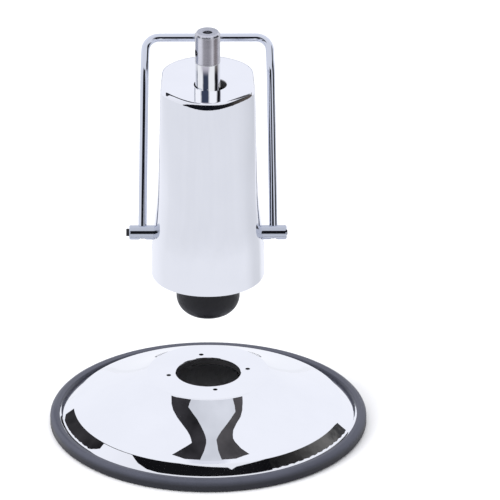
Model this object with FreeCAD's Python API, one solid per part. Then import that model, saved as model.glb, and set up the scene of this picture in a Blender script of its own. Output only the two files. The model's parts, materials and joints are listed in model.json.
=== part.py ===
import FreeCAD, Part
import os
from math import sin, cos, tan, radians, degrees, sqrt, pi, atan2, acos
from FreeCAD import Vector as V

os.makedirs("parts", exist_ok=True)

# ---------------------------------------------------------------------------
# Barber chair hydraulic pump with its round chrome base, in millimetres.
# Origin: centre of the base, on the floor.  +Z up, -Y is the front.
# The pump is drawn LIFT above its seat on the base, ready to be lowered.
# All heights below are given with the pump SEATED; LIFT is added on export.
# ---------------------------------------------------------------------------

LIFT = 170.0              # pump held above its seat on the base

# --- base ---
BASE_R = 241.0            # over the rubber edge
RUBBER_IN = 226.5         # inner edge of the rubber's top lip
RUBBER_TOP = 19.5
PLATE_T = 2.5
PLATEAU_Z = 84.0          # top of the flat seat
PLATEAU_R = 93.0
CREASE_R, CREASE_Z = 204.0, 29.8
SKIRT_R, SKIRT_Z = 224.0, 15.0
HOLE_R = 49.5             # hole for the pump's foot
BOLT_PCR = 61.0           # bolt circle radius
BOLT_TURN = 10.0          # the bolt cross is turned by this much
TAP_R = 3.4               # M8 core radius
BACK_T = 8.0

# --- casting ---
FOOT_R = 48.0
FOOT_Z = 16.0
FOOT_FILLET = 30.0
FLANGE_Z0 = 84.2
FLANGE_T = 10.0
FLANGE_R = 74.0
COLUMN_R = 40.0
COLUMN_Z = 170.0
CYL_BORE_R = 22.0
CYL_R = 26.0
CYL_Z0, CYL_Z1 = 33.0, 363.0
TUBE_R, TUBE_IN = 36.0, 33.0
TUBE_Z0, TUBE_Z1 = 159.0, 370.0
GLAND_TOP = 380.0

# --- ram and spindle ---
RAM_R = 18.9
HEAD_R = 19.0
HEAD_H = 49.0
SPINDLE_TOP = 482.5
THREAD_R, THREAD_D = 7.0, 22.0
CROSS_R, CROSS_DOWN, CROSS_ANG = 5.25, 32.0, 202.0
RAM_STROKE = 150.0
RUN = 0.05                # running clearance, radial

# --- cover ---
COV_Z0 = 86.5
COV_H = 308.0
COV_T = 1.6
COV_EDGE = 7.5            # rounded top edge
COV_HOLE_R = 25.0
COV_HOLE_DX, COV_HOLE_DY = 4.0, 2.0

# --- pedal ---
PIV_Z = 149.5
HUB_R = 11.0
HUB_X0, HUB_X1 = 72.0, 119.0
LEG_X = 99.0
ROD_R = 6.35
LEAN1, LEAN2 = 28.0, 48.0
LEG1, LEG2 = 248.0, 51.0
BAR_ARM, BAR_UP = 55.0, 10.0      # press bar: radius and angle about the pivot
BAR_R = 6.0

# --- plunger and valves (plan positions) ---
PL_X, PL_Y, PL_R = 18.0, BAR_ARM * cos(radians(BAR_UP)), 7.0
REL_X, REL_Y = -34.0, 52.0
SUC_X, SUC_Y = 46.0, 34.0
DEL_X, DEL_Y = -45.0, 18.5


# ------------------------------- helpers -----------------------------------
def cyl(r, z0, z1, x=0.0, y=0.0):
    return Part.makeCylinder(r, z1 - z0, V(x, y, z0), V(0, 0, 1))


def cylx(r, x0, x1, y, z):
    if x1 < x0:
        x0, x1 = x1, x0
    return Part.makeCylinder(r, x1 - x0, V(x0, y, z), V(1, 0, 0))


def ring(r0, r1, z0, z1, x=0.0, y=0.0):
    return cyl(r1, z0, z1, x, y).cut(cyl(r0, z0 - 1, z1 + 1, x, y))


def rod(p, q, r):
    d = q.sub(p)
    return Part.makeCylinder(r, d.Length, p, d)


def revolve(edges_or_pts, centre=V(0, 0, 0)):
    if isinstance(edges_or_pts[0], (tuple, list)):
        pts = [V(r, 0, z) for r, z in edges_or_pts]
        pts.append(pts[0])
        w = Part.makePolygon(pts)
    else:
        w = Part.Wire(Part.__sortEdges__(edges_or_pts))
    f = Part.Face(w)
    s = f.revolve(V(0, 0, 0), V(0, 0, 1), 360)
    s = Part.Solid(s.Shells[0]) if s.ShapeType != "Solid" else s
    s.translate(centre)
    return s


def hexagon(af, z0, z1, x=0.0, y=0.0, turn=0.0):
    r = af / 2.0 / cos(pi / 6)
    pts = [V(x + r * cos(radians(60 * i + turn)), y + r * sin(radians(60 * i + turn)), z0)
           for i in range(7)]
    return Part.Face(Part.makePolygon(pts)).extrude(V(0, 0, z1 - z0))


def hexhead(af, z0, z1, x=0.0, y=0.0, turn=0.0):
    """Hexagon with its top corners chamfered by a cone."""
    h = hexagon(af, z0, z1, x, y, turn)
    r = af / 2.0 / cos(pi / 6)
    c = min(1.0, (z1 - z0) * 0.3)
    cone = revolve([(0, z0 - 1), (r + 3, z0 - 1), (r + 3, z1 - c - 1.2), (r * 0.93, z1), (0, z1)],
                   V(x, y, 0))
    return h.common(cone)


def path_with_arcs(pts, radii):
    """Line and tangent-arc wire through pts; radii for the inner points."""
    edges = []
    cur = pts[0]
    for i in range(1, len(pts) - 1):
        a = pts[i - 1].sub(pts[i]).normalize()
        b = pts[i + 1].sub(pts[i]).normalize()
        ang = acos(max(-1.0, min(1.0, a.dot(b))))
        r = radii[i - 1]
        t = r / tan(ang / 2.0)
        s = pts[i].add(V(a).multiply(t))
        e = pts[i].add(V(b).multiply(t))
        bis = V(a).add(b).normalize()
        c = pts[i].add(V(bis).multiply(r / sin(ang / 2.0)))
        m = c.sub(V(bis).multiply(r))
        edges.append(Part.LineSegment(cur, s).toShape())
        edges.append(Part.Arc(s, m, e).toShape())
        cur = e
    edges.append(Part.LineSegment(cur, pts[-1]).toShape())
    return Part.Wire(edges)


def sweep(wire, r):
    p0 = wire.Edges[0].valueAt(wire.Edges[0].FirstParameter)
    d = wire.Edges[0].tangentAt(wire.Edges[0].FirstParameter)
    prof = Part.Wire(Part.makeCircle(r, p0, d))
    return wire.makePipeShell([prof], True, True)


def spring(r, wire_r, z0, z1, turns, x, y):
    """Coil spring standing between two planes."""
    h = (z1 - z0) - 2 * wire_r
    helix = Part.makeHelix(h / turns, h, r)
    helix.translate(V(0, 0, 0))
    prof = Part.Wire(Part.makeCircle(wire_r, V(r, 0, 0), V(0, 1, 0)))
    s = Part.Wire(helix).makePipeShell([prof], True, True)
    s.translate(V(x, y, z0 + wire_r))
    return s


def solid_count(s):
    return len(s.Solids)


ALL = []


def out(name, shape, lift=True):
    if lift:
        shape = shape.copy()
        shape.translate(V(0, 0, LIFT))
    ok = shape.isValid()
    bb = shape.BoundBox
    print("%-24s solids %d valid %s vol %.1f  x %.1f..%.1f y %.1f..%.1f z %.1f..%.1f" % (
        name, solid_count(shape), ok, shape.Volume, bb.XMin, bb.XMax, bb.YMin, bb.YMax, bb.ZMin, bb.ZMax))
    shape.exportStep("parts/%s.step" % name)
    ALL.append((name, shape))


def bolt_xy(i):
    a = radians(BOLT_TURN + 90 * i)
    return BOLT_PCR * cos(a), BOLT_PCR * sin(a)


# ------------------------------- base --------------------------------------
# Pressed steel dome: flat seat, a soft trumpet slope, a crease, a steeper skirt
# and a small outward flange that the rubber edge grips.
def dome_pts():
    return [(PLATEAU_R, PLATEAU_Z), (100.0, 79.1), (112.0, 71.4), (130.0, 61.3), (150.0, 51.5),
            (172.0, 42.0), (188.0, 35.8), (CREASE_R - 1.0, CREASE_Z + 0.4)]


def offset_pts(pts, t):
    """Shift a falling profile inward along its normal."""
    res = []
    n = len(pts)
    for i, (r, z) in enumerate(pts):
        r0, z0 = pts[max(0, i - 1)]
        r1, z1 = pts[min(n - 1, i + 1)]
        dr, dz = r1 - r0, z1 - z0
        L = sqrt(dr * dr + dz * dz)
        res.append((r + dz / L * t, z - dr / L * t))
    return res


def spl(pts):
    c = Part.BSplineCurve()
    c.interpolate([V(r, 0, z) for r, z in pts])
    return c.toShape()


def line(a, b):
    return Part.LineSegment(V(a[0], 0, a[1]), V(b[0], 0, b[1])).toShape()


top = dome_pts()
bot = offset_pts(top, PLATE_T)
bot[0] = (PLATEAU_R - 0.45, PLATEAU_Z - PLATE_T)
# crease radius: a short arc from the dome into the skirt
cr_a = top[-1]
cr_m = (CREASE_R, CREASE_Z)
cr_b = (CREASE_R + 0.93, CREASE_Z - 0.53)
sk_b = (SKIRT_R - 1.28, SKIRT_Z + 0.96)
fl_m = (SKIRT_R + 0.08, SKIRT_Z + 0.25)
fl_a = (SKIRT_R + 1.6, SKIRT_Z)
fl_e = (232.0, SKIRT_Z)
fl_f = (232.0, SKIRT_Z - PLATE_T)
in_a = (SKIRT_R - 0.83, SKIRT_Z - PLATE_T)
in_b = (CREASE_R - 0.57, CREASE_Z - 2.53)
in_c = bot[-1]
arc = lambda a, m, b: Part.Arc(V(a[0], 0, a[1]), V(m[0], 0, m[1]), V(b[0], 0, b[1])).toShape()
edges = [line((HOLE_R, PLATEAU_Z - 0.6), (HOLE_R + 0.6, PLATEAU_Z)),
         line((HOLE_R + 0.6, PLATEAU_Z), top[0]),
         spl(top), arc(cr_a, cr_m, cr_b), line(cr_b, sk_b), arc(sk_b, fl_m, fl_a),
         line(fl_a, fl_e), line(fl_e, fl_f), line(fl_f, in_a), line(in_a, in_b), line(in_b, in_c),
         spl(bot), line(bot[0], (HOLE_R, PLATEAU_Z - PLATE_T)),
         line((HOLE_R, PLATEAU_Z - PLATE_T), (HOLE_R, PLATEAU_Z - 0.6))]
base_plate = revolve(edges)
for i in range(4):
    bx, by = bolt_xy(i)
    base_plate = base_plate.cut(cyl(TAP_R + 0.2, 60, 100, bx, by))
out("base_plate", base_plate, False)

# Rubber edge: a C section pushed over the flange, flat underneath.
rub = [line((221.5, 0.0), (BASE_R - 4.0, 0.0)),
       arc((BASE_R - 4.0, 0.0), (BASE_R - 1.17, 1.17), (BASE_R, 4.0)),
       line((BASE_R, 4.0), (BASE_R, 11.5)),
       arc((BASE_R, 11.5), (BASE_R - 2.6, 17.4), (BASE_R - 8.0, RUBBER_TOP)),
       line((BASE_R - 8.0, RUBBER_TOP), (RUBBER_IN + 1.5, RUBBER_TOP - 0.6)),
       arc((RUBBER_IN + 1.5, RUBBER_TOP - 0.6), (RUBBER_IN + 0.4, RUBBER_TOP - 1.2), (RUBBER_IN, RUBBER_TOP - 2.2)),
       line((RUBBER_IN, RUBBER_TOP - 2.2), (RUBBER_IN, SKIRT_Z)),
       line((RUBBER_IN, SKIRT_Z), (232.0, SKIRT_Z)),
       line((232.0, SKIRT_Z), (232.0, SKIRT_Z - PLATE_T)),
       line((232.0, SKIRT_Z - PLATE_T), (221.5, SKIRT_Z - PLATE_T)),
       line((221.5, SKIRT_Z - PLATE_T), (221.5, 0.0))]
out("base_rubber_rim", revolve(rub), False)

# Thick plate under the seat with the four tapped holes.
back_top = PLATEAU_Z - PLATE_T
back = ring(HOLE_R, 84.0, back_top - BACK_T, back_top)
for i in range(4):
    bx, by = bolt_xy(i)
    back = back.cut(cyl(TAP_R, 50, 100, bx, by))
out("base_backing_plate", back, False)

# ------------------------------- casting -----------------------------------
fl_top = FLANGE_Z0 + FLANGE_T
prof = [line((0, FOOT_Z), (FOOT_R - FOOT_FILLET, FOOT_Z)),
        arc((FOOT_R - FOOT_FILLET, FOOT_Z),
            (FOOT_R - FOOT_FILLET + FOOT_FILLET * sin(pi / 4), FOOT_Z + FOOT_FILLET - FOOT_FILLET * cos(pi / 4)),
            (FOOT_R, FOOT_Z + FOOT_FILLET)),
        line((FOOT_R, FOOT_Z + FOOT_FILLET), (FOOT_R, FLANGE_Z0)),
        line((FOOT_R, FLANGE_Z0), (FLANGE_R, FLANGE_Z0)),
        line((FLANGE_R, FLANGE_Z0), (FLANGE_R, fl_top - 2)),
        line((FLANGE_R, fl_top - 2), (FLANGE_R - 2, fl_top)),
        line((FLANGE_R - 2, fl_top), (COLUMN_R + 6, fl_top)),
        arc((COLUMN_R + 6, fl_top), (COLUMN_R + 1.76, fl_top + 1.76), (COLUMN_R, fl_top + 6)),
        line((COLUMN_R, fl_top + 6), (COLUMN_R, COLUMN_Z - 1.5)),
        line((COLUMN_R, COLUMN_Z - 1.5), (COLUMN_R - 1.5, COLUMN_Z)),
        line((COLUMN_R - 1.5, COLUMN_Z), (0, COLUMN_Z)),
        line((0, COLUMN_Z), (0, FOOT_Z))]
cast = revolve(prof)
cast = cast.fuse(cylx(16.0, -48.0, 48.0, 0, PIV_Z))                 # pivot bosses
cast = cast.fuse(cyl(13.0, fl_top - 1, 98.0, PL_X, PL_Y))           # plunger boss
cast = cast.fuse(cyl(8.0, fl_top - 1, 106.0, REL_X, REL_Y))         # release valve boss
cast = cast.fuse(cyl(8.5, fl_top - 1, 108.0, SUC_X, SUC_Y))         # suction valve boss
cast = cast.fuse(cyl(8.5, fl_top - 1, 108.0, DEL_X, DEL_Y))         # delivery valve boss
cast = cast.fuse(Part.makeCylinder(9.0, 8.0, V(0, -36.0, 146.0), V(0, -1, 0)))  # filler boss
cast = cast.removeSplitter()
cuts = [cyl(CYL_R, CYL_Z0, COLUMN_Z + 1),                            # cylinder bore
        cyl(CYL_R, 30.0, CYL_Z0 + 0.5),                              # gasket seat
        ring(CYL_R, TUBE_IN, 120.0, TUBE_Z0 + 1),                    # oil gallery
        cyl(TUBE_R, TUBE_Z0, COLUMN_Z + 1),                          # tube seat
        cyl(8.0, FOOT_Z - 1, 31.0),                                  # drain hole
        cyl(13.0, FOOT_Z - 1, 22.0),                                 # drain counterbore
        cyl(9.4, 87.0, 99.0, PL_X, PL_Y),                            # barrel seat
        cyl(6.0, 94.0, 107.0, REL_X, REL_Y),                         # release valve screw
        cyl(3.4, 90.0, 95.0, REL_X, REL_Y),
        cyl(6.0, 100.0, 109.0, SUC_X, SUC_Y),                        # suction valve
        cyl(4.2, 90.0, 101.0, SUC_X, SUC_Y),
        cyl(2.4, 86.5, 90.5, SUC_X, SUC_Y),
        cyl(6.0, 102.0, 109.0, DEL_X, DEL_Y),                        # delivery valve
        cyl(4.2, 90.0, 103.0, DEL_X, DEL_Y),
        cyl(2.4, 86.5, 90.5, DEL_X, DEL_Y),
        Part.makeCylinder(5.0, 14.0, V(0, -31.5, 146.0), V(0, -1, 0)),  # filler hole
        cylx(6.0, 34.0, 49.0, 0, PIV_Z), cylx(6.0, -49.0, -34.0, 0, PIV_Z)]
for i in range(4):
    bx, by = bolt_xy(i)
    cuts.append(cyl(4.5, FLANGE_Z0 - 1, fl_top + 1, bx, by))
# oil passages: plunger to both valves, release valve to delivery, and a
# slanting feed from the delivery valve to the foot of the cylinder
cuts.append(rod(V(PL_X, PL_Y, 88.4), V(SUC_X, SUC_Y, 88.4), 1.3))
cuts.append(rod(V(PL_X, PL_Y, 88.4), V(DEL_X, DEL_Y, 88.4), 1.3))
cuts.append(rod(V(REL_X, REL_Y, 91.5), V(DEL_X, DEL_Y, 95.5), 1.5))
feed = rod(V(DEL_X, DEL_Y, 97.0), V(-20.0, 8.5, 37.0), 2.0)
cuts.append(feed)
for c in cuts:
    cast = cast.cut(c)
out("pump_casting", cast)

# drain plug and its ring
plug = hexhead(16.0, 17.2, 21.0).copy()
plug = hexagon(16.0, 16.6, 21.0).fuse(cyl(8.0, 21.0, 29.5))
plug = plug.cut(cyl(2.6, 23.5, 31.0)).removeSplitter()
out("drain_plug", plug)
out("drain_plug_washer", ring(8.0, 12.0, 21.0, 22.0))

# flange bolts M8 with spring washers
bolts, washers = [], []
for i in range(4):
    bx, by = bolt_xy(i)
    b = hexhead(13.0, fl_top + 1.8, fl_top + 7.1, bx, by, 10)
    b = b.fuse(cyl(4.0, FLANGE_Z0 + 1.0, fl_top + 1.9, bx, by))
    b = b.fuse(cyl(TAP_R - 0.1, 73.2, FLANGE_Z0 + 1.1, bx, by))
    tip = revolve([(0, 72.0), (TAP_R - 1.3, 72.0), (TAP_R - 0.1, 73.2), (0, 73.2)], V(bx, by, 0))
    b = b.fuse(tip).removeSplitter()
    bolts.append(b)
    w = ring(4.2, 7.6, fl_top, fl_top + 1.8, bx, by)
    cutter = Part.makeBox(5.0, 0.9, 6.0, V(bx + 3.0, by - 0.45, fl_top - 2))
    cutter.rotate(V(bx, by, 0), V(0, 0, 1), 40 + 60 * i)
    washers.append(w.cut(cutter))
out("flange_bolts", Part.makeCompound(bolts))
out("flange_spring_washers", Part.makeCompound(washers))

# ------------------------------- cylinder ----------------------------------
out("cylinder_gasket", ring(CYL_BORE_R, CYL_R, 30.0, CYL_Z0))
icyl = ring(CYL_BORE_R, CYL_R, CYL_Z0, CYL_Z1).cut(feed)
icyl = icyl.cut(rod(V(-30, 0, 356.0), V(30, 0, 356.0), 1.5))
out("inner_cylinder", icyl)
tube = ring(TUBE_IN, TUBE_R, TUBE_Z0, TUBE_Z1)
out("reservoir_tube", tube)

gland = revolve([(CYL_R, 350.0), (TUBE_IN, 350.0), (TUBE_IN, 352.6), (TUBE_IN - 1.6, 352.6),
                 (TUBE_IN - 1.6, 355.8), (TUBE_IN, 355.8), (TUBE_IN, TUBE_Z1), (TUBE_R, TUBE_Z1),
                 (TUBE_R, GLAND_TOP - 1.2), (TUBE_R - 1.2, GLAND_TOP), (21.8, GLAND_TOP),
                 (21.8, 373.5), (20.5, 373.5), (20.5, 363.0 + 0.0), (CYL_R, 363.0)])
for k in range(3):
    a = radians(90 + 120 * k)
    gland = gland.cut(cyl(2.0, 374.0, 382.0, 29.5 * cos(a), 29.5 * sin(a)))
out("gland_nut", gland)
oring = Part.makeTorus(TUBE_IN - 0.8, 0.8, V(0, 0, 354.2), V(0, 0, 1))
out("gland_o_ring", oring)
out("guide_bush", ring(RAM_R + RUN, 20.5, 351.0, 373.5).cut(ring(20.4, 30.0, 340.0, 363.0)).fuse(
    ring(RAM_R + RUN, 20.4, 351.0, 363.0)).removeSplitter())
wiper = revolve([(RAM_R + 0.9, 373.5), (21.8, 373.5), (21.8, GLAND_TOP), (RAM_R + 1.9, GLAND_TOP),
                 (RAM_R + 0.9, GLAND_TOP + 1.6), (RAM_R + RUN, GLAND_TOP + 1.6), (RAM_R + RUN, GLAND_TOP - 1.0),
                 (RAM_R + 0.9, GLAND_TOP - 2.5)])
out("rod_wiper", wiper)
out("cover_cushion_ring", ring(30.0, 35.0, GLAND_TOP, COV_Z0 + COV_H - COV_T))

# filler plug in the column, with its ring
fy = -44.0
fp = hexhead(13.0, 0, 5.0).fuse(cyl(5.0, -10.0, 0.1)).removeSplitter()
fp.rotate(V(0, 0, 0), V(1, 0, 0), 90)
fp.translate(V(0, fy - 1.2, 146.0))
out("filler_plug", fp)
fw = ring(5.0, 7.6, 0, 1.2)
fw.rotate(V(0, 0, 0), V(1, 0, 0), 90)
fw.translate(V(0, fy, 146.0))
out("filler_plug_washer", fw)

# ------------------------------- piston and ram ----------------------------
P0 = 46.2
pis = revolve([(9.0 + RUN, P0), (CYL_BORE_R - 1.5, P0), (CYL_BORE_R - RUN, P0 + 1.5),
               (CYL_BORE_R - RUN, P0 + 4.0), (CYL_BORE_R - 3.2, P0 + 4.0), (CYL_BORE_R - 3.2, P0 + 9.0),
               (CYL_BORE_R - RUN, P0 + 9.0), (CYL_BORE_R - RUN, P0 + 15.8), (9.0 + RUN, P0 + 15.8)])
out("piston", pis)
out("piston_seal", ring(CYL_BORE_R - 3.2, CYL_BORE_R - 0.03, P0 + 4.0, P0 + 9.0))
out("thrust_washer", ring(9.0 + RUN, 16.0, P0 + 15.8, P0 + 17.8))
SH = P0 + 17.9
head_z0 = SPINDLE_TOP - HEAD_H
ram = revolve([(0, 37.0), (8.2, 37.0), (9.0, 37.8), (9.0, SH), (RAM_R - 1.0, SH), (RAM_R, SH + 1.0),
               (RAM_R, head_z0), (11.0, head_z0), (11.0, head_z0 + 9.0), (0, head_z0 + 9.0)])
out("ram_rod", ram)
out("ram_retaining_nut", hexhead(26.0, 38.0, 46.1).cut(cyl(9.0, 30, 50)))
head = revolve([(11.0, head_z0), (HEAD_R - 0.5, head_z0), (HEAD_R, head_z0 + 0.5), (HEAD_R, SPINDLE_TOP - 4.0),
                (HEAD_R - 3.0, SPINDLE_TOP), (THREAD_R + 1.5, SPINDLE_TOP), (THREAD_R, SPINDLE_TOP - 1.5),
                (THREAD_R, SPINDLE_TOP - THREAD_D), (0, SPINDLE_TOP - THREAD_D - 3.5),
                (0, head_z0 + 9.0), (11.0, head_z0 + 9.0)])
ca = radians(CROSS_ANG)
cz = SPINDLE_TOP - CROSS_DOWN - 0.0
head = head.cut(rod(V(40 * cos(ca), 40 * sin(ca), cz), V(-40 * cos(ca), -40 * sin(ca), cz), CROSS_R))
out("spindle_head", head)

# ------------------------------- cover -------------------------------------
# A tall chromed shell: at the top its plan has straight sides, a shallow
# front arc with two corners and a rounder back; at the bottom it is an oval.
# The sides swell over the pedal tubes.  A slot on each side, open below, lets
# the tubes through.
def lerp(a, b, t):
    return a + (b - a) * t


def table(z, rows):
    for i in range(len(rows) - 1):
        z0, v0 = rows[i]
        z1, v1 = rows[i + 1]
        if z <= z1:
            t = (z - z0) / float(z1 - z0)
            return lerp(v0, v1, t)
    return rows[-1][1]


HALF_W = [(0, 86.0), (30, 85.2), (55, 83.9), (75, 82.2), (92, 80.0), (110, 77.9), (128, 76.5), (150, 75.5),
          (190, 74.2), (250, 72.9), (308, 71.5)]
FRONT_B, FRONT_T = 94.0, 72.0
BACK_B, BACK_T = 98.0, 111.0
YC = 14.0                                   # pole of the plan curve


def top_plan(phi):
    """Distance from the pole to the top plan curve at angle phi (0 = +X)."""
    best = None
    c, s = cos(phi), sin(phi)
    cands = []
    # sides: from (71.5,-22) to (68.6,66)
    x0, y0, x1, y1 = 71.5, -22.0, 68.6, 66.0
    ax = abs(c)
    if ax > 1e-9:
        # line a: x = x0 + k (y - y0)
        k = (x1 - x0) / (y1 - y0)
        # r*ax = x0 + k*(YC + r*s - y0)
        den = ax - k * s
        r = (x0 + k * (YC - y0)) / den
        if r > 0:
            cands.append(r)
    # front arc: y = -72 + q x^2
    if s < -1e-9:
        q = 50.0 / 71.5 ** 2
        # YC + r s = -72 + q r^2 c^2
        a = q * c * c
        b = -s
        cc = -72.0 - YC
        if abs(a) < 1e-12:
            r = -cc / b
        else:
            r = (-b + sqrt(b * b - 4 * a * cc)) / (2 * a)
        cands.append(r)
    # back arc: circle radius 75 about y = 36
    if s > 0.0:
        h = YC - 36.0
        b = h * s
        cc = h * h - 75.0 ** 2
        r = -b + sqrt(b * b - cc)
        cands.append(r)
    return min(cands)


def bottom_plan(phi, half, front, back):
    c, s = cos(phi), sin(phi)
    # two half ellipses about y = 0, met by a ray from the pole
    lo, hi = 1.0, 200.0
    for _ in range(50):
        m = (lo + hi) / 2
        x, y = m * c, YC + m * s
        b = front if y < 0 else back
        if (abs(x) / half) ** 2.12 + (abs(y) / b) ** 2.12 < 1:
            lo = m
        else:
            hi = m
    return lo


NP = 64


def phis():
    # closer together near the two front corners and the two back corners
    res = []
    for i in range(NP):
        res.append(2 * pi * i / NP)
    return res


PHI = phis()


def section(z, inset=0.0):
    """Plan curve points at height z above the cover's lower edge."""
    t = max(0.0, min(1.0, z / COV_H))
    w = 1.0 - t * t * (3 - 2 * t)
    half = table(z, HALF_W)
    front = lerp(FRONT_B, FRONT_T, t)
    back = lerp(BACK_B, BACK_T, t)
    pts = []
    for p in PHI:
        rt = top_plan(p)
        xt, yt = rt * cos(p) / 71.5, YC + rt * sin(p)
        rb = bottom_plan(p, 86.0, 94.0, 98.0)
        xb, yb = rb * cos(p) / 86.0, YC + rb * sin(p)
        x = lerp(xt, xb, w) * half
        y = lerp(yt, yb, w)
        pts.append([x, y])
    # smooth once to round the corners a little
    q = []
    n = len(pts)
    for i in range(n):
        a, b, c = pts[i - 1], pts[i], pts[(i + 1) % n]
        q.append([0.22 * a[0] + 0.56 * b[0] + 0.22 * c[0], 0.22 * a[1] + 0.56 * b[1] + 0.22 * c[1]])
    pts = q
    if inset:
        q = []
        for i in range(n):
            a, c = pts[i - 1], pts[(i + 1) % n]
            tx, ty = c[0] - a[0], c[1] - a[1]
            L = sqrt(tx * tx + ty * ty)
            # curve runs anticlockwise, so the left normal points inward
            q.append([pts[i][0] - ty / L * inset, pts[i][1] + tx / L * inset])
        pts = q
    return pts


def plan_wire(z, inset=0.0, zz=None):
    pts = section(z, inset)
    c = Part.BSplineCurve()
    c.interpolate([V(x, y, COV_Z0 + (z if zz is None else zz)) for x, y in pts], PeriodicFlag=True)
    return Part.Wire(c.toShape())


ZS = [0, 30, 60, 90, 120, 155, 205, 255, COV_H - COV_EDGE]


def shell_solid(inset, edge, top, zbot):
    """Closed body of the cover's outside (or inside), with a rounded top edge."""
    ws = []
    zs = list(ZS)
    zs[-1] = top - edge
    for i, z in enumerate(zs):
        zz = zbot if i == 0 else z
        ws.append(plan_wire(z, inset, zz))
    wall = Part.makeLoft(ws, False, False)
    # the rounded edge: quarter circle in six steps
    es = [ws[-1]]
    for k in range(1, 6):
        a = radians(18.0 * k)
        es.append(plan_wire(top - edge + edge * sin(a), inset + edge * (1 - cos(a))))
    rim = Part.makeLoft(es, False, False)
    cap = Part.Face(es[-1])
    floor = Part.Face(ws[0])
    sh = Part.makeShell(wall.Faces + rim.Faces + [cap, floor])
    sh.sewShape()
    so = Part.makeSolid(sh)
    if so.Volume < 0:
        so.reverse()
    return so


outer = shell_solid(0.0, COV_EDGE, COV_H, 0.0)
inner = shell_solid(COV_T, COV_EDGE - COV_T, COV_H - COV_T, -2.0)
print("cover outer", outer.isValid(), outer.Volume, "inner", inner.isValid(), inner.Volume)
cover = outer.cut(inner)
hz0, hz1 = COV_Z0 + COV_H - 12, COV_Z0 + COV_H + 5
cover = cover.cut(cyl(COV_HOLE_R, hz0, hz1, COV_HOLE_DX, COV_HOLE_DY))
slot = Part.makeBox(240.0, 26.0, PIV_Z - COV_Z0 + 5, V(-120, -13.0, COV_Z0 - 5))
slot = slot.fuse(cylx(13.0, -120, 120, 0, PIV_Z))
cover = cover.cut(slot)
out("pump_cover", cover)

# ------------------------------- pedal -------------------------------------
studs = []
for sgn in (1, -1):
    s = cylx(6.0, sgn * 34.2, sgn * 62.0, 0, PIV_Z).fuse(cylx(7.5, sgn * 62.0, sgn * 66.0, 0, PIV_Z))
    key = hexagon(6.0, 0, 3.0)
    key.rotate(V(0, 0, 0), V(0, 1, 0), 90)
    key.translate(V(63.2 if sgn > 0 else -66.2, 0, PIV_Z))
    studs.append(s.cut(key).removeSplitter())
out("pivot_studs", Part.makeCompound(studs))

bushes = [cylx(8.0, s * 49.2, s * 61.5, 0, PIV_Z).cut(cylx(6.0 + RUN, s * 40, s * 70, 0, PIV_Z)) for s in (1, -1)]
out("yoke_bushes", Part.makeCompound(bushes))

by_ = BAR_ARM * cos(radians(BAR_UP))
bz_ = PIV_Z + BAR_ARM * sin(radians(BAR_UP))
yoke = cylx(BAR_R, -57.9, 57.9, by_, bz_)
for sgn in (1, -1):
    yoke = yoke.fuse(cylx(14.0, sgn * 49.0, sgn * HUB_X0, 0, PIV_Z))
    # arm plate: tangent web between the eye and the bar end
    x0 = 50.0 if sgn > 0 else -58.0
    a = atan2(bz_ - PIV_Z, by_)
    d = sqrt(by_ ** 2 + (bz_ - PIV_Z) ** 2)
    k = acos((13.5 - 9.0) / d)
    pts = []
    for (cy_, cz_, rr, ang) in ((0.0, PIV_Z, 13.5, a + k), (by_, bz_, 9.0, a + k),
                                (by_, bz_, 9.0, a - k), (0.0, PIV_Z, 13.5, a - k)):
        pts.append(V(x0, cy_ + rr * cos(ang), cz_ + rr * sin(ang)))
    pts.append(pts[0])
    web = Part.Face(Part.makePolygon(pts)).extrude(V(8, 0, 0))
    yoke = yoke.fuse(web).fuse(cylx(9.0, x0, x0 + 8.0, by_, bz_))
for sgn in (1, -1):
    yoke = yoke.cut(cylx(8.0, sgn * 45, sgn * 75, 0, PIV_Z))
    yoke = yoke.cut(cyl(2.0, PIV_Z - 20, PIV_Z + 20, sgn * 69.2, 0))
yoke = yoke.removeSplitter()
out("pedal_yoke", yoke)

# U-bar path
L1 = radians(LEAN1)
L2 = radians(LEAN2)
Hc = V(LEG_X, 0, PIV_Z)
K = V(LEG_X - 3.7, LEG1 * sin(L1), PIV_Z + LEG1 * cos(L1))
T = V(K.x - 2.0, K.y + LEG2 * sin(L2), K.z + LEG2 * cos(L2))
u1 = K.sub(Hc).normalize()
E = Hc.sub(V(u1).multiply(HUB_R - 1.4))
mir = lambda p: V(-p.x, p.y, p.z)
ubar_pts = [E, K, T, mir(T), mir(K), mir(E)]
ubar = sweep(path_with_arcs(ubar_pts, [60.0, 21.0, 21.0, 60.0]), ROD_R)
out("u_bar", ubar)

for sgn, nm in ((1, "right"), (-1, "left")):
    hub = cylx(HUB_R, sgn * HUB_X0, sgn * HUB_X1, 0, PIV_Z)
    # outer rim chamfer
    ch = revolve([(0, HUB_X0 - 10), (HUB_R + 5, HUB_X0 - 10), (HUB_R + 5, HUB_X1 - 1.6 - 5), (HUB_R - 1.6, HUB_X1), (0, HUB_X1)])
    ch = revolve([(0, 0), (HUB_R + 0.0, 0), (HUB_R, HUB_X1 - 1.6), (HUB_R - 1.6, HUB_X1), (0, HUB_X1)])
    ch.rotate(V(0, 0, 0), V(0, 1, 0), 90 * sgn)
    ch.translate(V(0, 0, PIV_Z))
    hub = hub.common(ch)
    hub = hub.fuse(cylx(8.0, sgn * 66.5, sgn * (HUB_X0 + 1), 0, PIV_Z))
    hub = hub.cut(cylx(4.0, sgn * 100.0, sgn * 125.0, 0, PIV_Z))
    p = V(Hc.x * sgn, Hc.y, Hc.z)
    d = V(u1.x * sgn, u1.y, u1.z)
    hub = hub.cut(rod(p.sub(V(d).multiply(25)), p.add(V(d).multiply(25)), ROD_R))
    hub = hub.cut(cyl(2.0, PIV_Z - 20, PIV_Z + 20, sgn * 69.2, 0))
    out("pedal_hub_" + nm, hub.removeSplitter())

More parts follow.
